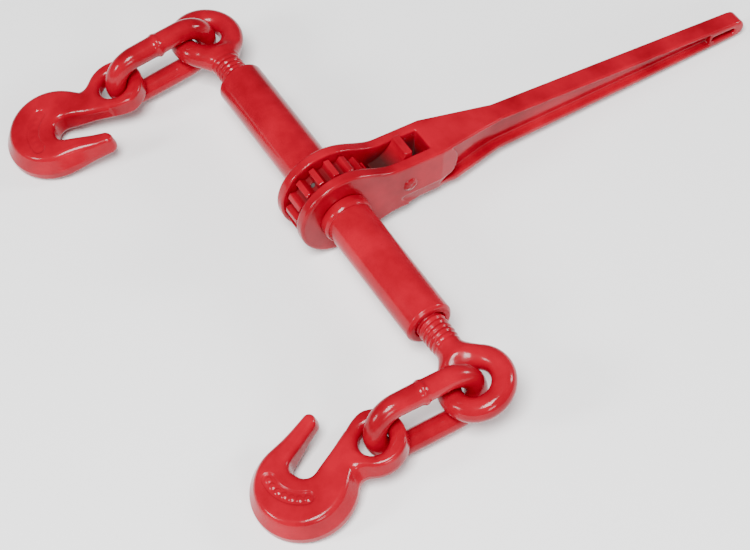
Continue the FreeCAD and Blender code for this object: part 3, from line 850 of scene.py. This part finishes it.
def hook_field(a, b, z, relief):
    """A grab hook about the centre of its hole: eye, web, bowl and finger, thicker at the bowl."""
    eye = disc(a, b, (0, 0), HOOK_EYE_R)
    bowl = disc(a, b, HOOK_BOWL, HOOK_BOWL_R)
    web = slab(a, b, (0.0, THROAT_B), HOOK_WEB, 1.0)
    finger = round_cone(a, b, HOOK_BOWL, HOOK_BOWL_R, HOOK_TIP, HOOK_TIP_R)
    finger = np.maximum(finger, b - THROAT_B)
    outline = np.minimum(join(np.minimum(eye, web), bowl, BOWL_FILLET), finger)
    thick = HOOK_THIN + HOOK_THICKER * ramp((a - HOOK_THICKENS_FROM) / HOOK_THICKENS_OVER)
    # the forging's sides draw in towards its upper face
    draft = DRAFT * ramp((a - DRAFT_STARTS) / DRAFT_GROWS_OVER) * np.maximum(z - DRAFT_FROM_Z, 0)
    solid = meet(outline + draft, np.abs(z) - thick, HOOK_EDGE)
    low = (THROAT_OPEN, THROAT_B - THROAT_HALF)
    throat = slab(a, b, low, (THROAT_END, THROAT_B + THROAT_HALF), THROAT_CORNER)
    solid = cut(solid, throat, THROAT_EDGE)
    solid = cut(solid, np.hypot(a, b) - HOOK_HOLE_R, HOLE_EDGE)
    # a shallow curved pocket behind the saddle on both faces, with a row of plain dots in it
    saddle = THROAT_END - THROAT_HALF
    turn = np.arctan2(b - THROAT_B, a - saddle)
    swing = np.clip(turn, HOOK_POCKET_MIDDLE - HOOK_POCKET_SPAN, HOOK_POCKET_MIDDLE + HOOK_POCKET_SPAN)
    pitch = HOOK_POCKET_SPAN / HOOK_DOTS_TO_SIDE
    nearest = np.round((swing - HOOK_POCKET_MIDDLE) / pitch) * pitch + HOOK_POCKET_MIDDLE

    def from_arc(angle):
        centre_a = saddle + HOOK_POCKET_R * np.cos(angle)
        centre_b = THROAT_B + HOOK_POCKET_R * np.sin(angle)
        return np.hypot(a - centre_a, b - centre_b)

    raised = relief * ramp((DOT_R - from_arc(nearest)) / DOT_SLOPE)
    floor = np.abs(z) - thick + HOOK_POCKET_DEPTH - raised
    return cut(solid, meet(from_arc(swing) - HOOK_POCKET_HALF, -floor, 0.7), 0.8)


# ---------------------------------------------------------------- making the pieces
# the spacing of each piece's grid, millimetres
GEAR_STEP = 0.55
HANDLE_STEP = 0.9
EYE_STEP = 0.7
LINK_STEP = 0.8
HOOK_STEP = 0.75
PAWL_STEP = 0.55
RIVET_STEP = 0.5


def build():
    """Every piece that shows, in place of its CAD node, and oiled steel on the nodes that stay."""
    make("barrel_tube", barrel_shape(), TILTED, "barrel_group", TUBE_RED, "barrel_enamel", "barrel")
    gear = surface(gear_field, (-8, -32, -32), (8, 32, 32), GEAR_STEP)
    make("gear_wheel", gear, TILTED, "barrel_group", GEAR_RED, "ratchet_enamel", "ratchet_gear")
    for side, name in ((1, "right"), (-1, "left")):
        place = TILTED @ Matrix.Diagonal((side, 1, 1, 1))
        make(name + "_ring_collar", collar_shape(), place, "barrel_group", TUBE_RED, "barrel_enamel",
             name + "_collar")
    forging = surface(handle_field, (-18, -34, -34), (18, 350, 34), HANDLE_STEP)
    make("handle_forging", forging, TILTED, "handle_group", CAST_RED, "handle_enamel", "handle")
    for name, end in ENDS.items():
        eye_x = end["eye_x"]
        low = (eye_x - SCREW_LENGTH - 1, -28, -12)
        eye = surface(lambda x, y, z: eye_field(x, y, z, eye_x), low, (eye_x + 28, 28, 12), EYE_STEP)
        make(name + "_eye", eye, eye_place(end), name + "_eye", FORGED_RED, "forged_enamel",
             name + "_eye_screw")
        link = surface(link_field, (-46, -9, -28), (46, 9, 28), LINK_STEP)
        make(name + "_chain_link", link, link_place(end), name + "_link", FORGED_RED, "forged_enamel",
             name + "_link")
        relief = RELIEF[name]
        low, high = (-23, -62, -10), (83, 23, 10)
        hook = surface(lambda a, b, z: hook_field(a, b, z, relief), low, high, HOOK_STEP)
        make(name + "_hook", hook, hook_place(end), name + "_hook", FORGED_RED, "forged_enamel",
             name + "_grab_hook")
    anchor = surface(pawl_field, (-10, 29, -11), (10, 63, 25), PAWL_STEP)
    make("pawl_anchor", anchor, TILTED, "pawl", PAWL_RED, "ratchet_enamel", "pawl")
    pin = surface(rivet_field, (-20, 46, -5), (20, 60, 8), RIVET_STEP)
    make("rivet", pin, TILTED, "handle_group", RIVET_RED, "ratchet_enamel", "pawl_pin")
    for node in frame["nodes"].values():
        for slot in node.material_slots:
            slot.material = OILED


# the studio, in metres: name, place, width and watts of each light, and the camera from the axis in mm
LIGHTS = [
    ("key", (0.8, -0.8, 2.1), 0.8, 112.0),
    ("side", (1.8, -0.5, 0.9), 0.5, 13.0),
    ("front", (-0.2, -1.9, 1.1), 0.5, 26.0),
    ("rim", (0.7, 1.8, 1.0), 0.5, 28.0),
]
WORLD_STRENGTH = 0.24
FLOOR_HALF = 6.0
FLOOR_GAP = 0.0002
CAMERA_PLACE = Vector((859.34, -448.09, 1193.51))
CAMERA_TURN = (37.015, 1.771, 58.502)
CAMERA_LENS = 108.2
CAMERA_SENSOR = 36.0


def studio():
    """A pale floor, a dim white world, four soft lights and the camera."""
    mesh = bpy.data.meshes.new("floor")
    corners = [(FLOOR_HALF * i, FLOOR_HALF * j, 0) for i, j in ((-1, -1), (1, -1), (1, 1), (-1, 1))]
    mesh.from_pydata(corners, [], [(0, 1, 2, 3)])
    floor = bpy.data.objects.new("floor", mesh)
    floor.location.z = cad_box[0][2] - FLOOR_GAP
    bpy.context.scene.collection.objects.link(floor)
    material, _, shader = nodes_of("pale_floor")
    shader.inputs["Base Color"].default_value = (*FLOOR, 1)
    shader.inputs["Roughness"].default_value = FLOOR_ROUGHNESS
    mesh.materials.append(material)

    world = bpy.data.worlds.new("studio")
    world.use_nodes = True
    world.node_tree.nodes["Background"].inputs["Color"].default_value = (1, 1, 1, 1)
    world.node_tree.nodes["Background"].inputs["Strength"].default_value = WORLD_STRENGTH
    bpy.context.scene.world = world
    for name, place, width, power in LIGHTS:
        light = bpy.data.lights.new(name, "AREA")
        light.size = width
        light.energy = power
        obj = bpy.data.objects.new(name, light)
        obj.location = place
        obj.rotation_euler = (-Vector(place)).to_track_quat("-Z", "Y").to_euler()
        bpy.context.scene.collection.objects.link(obj)

    camera = bpy.data.cameras.new("camera")
    camera.lens = CAMERA_LENS
    camera.sensor_width = CAMERA_SENSOR
    obj = bpy.data.objects.new("camera", camera)
    obj.location = (AXIS + CAMERA_PLACE) * MM
    obj.rotation_euler = [math.radians(a) for a in CAMERA_TURN]
    bpy.context.scene.collection.objects.link(obj)
    bpy.context.scene.camera = obj


build()
studio()
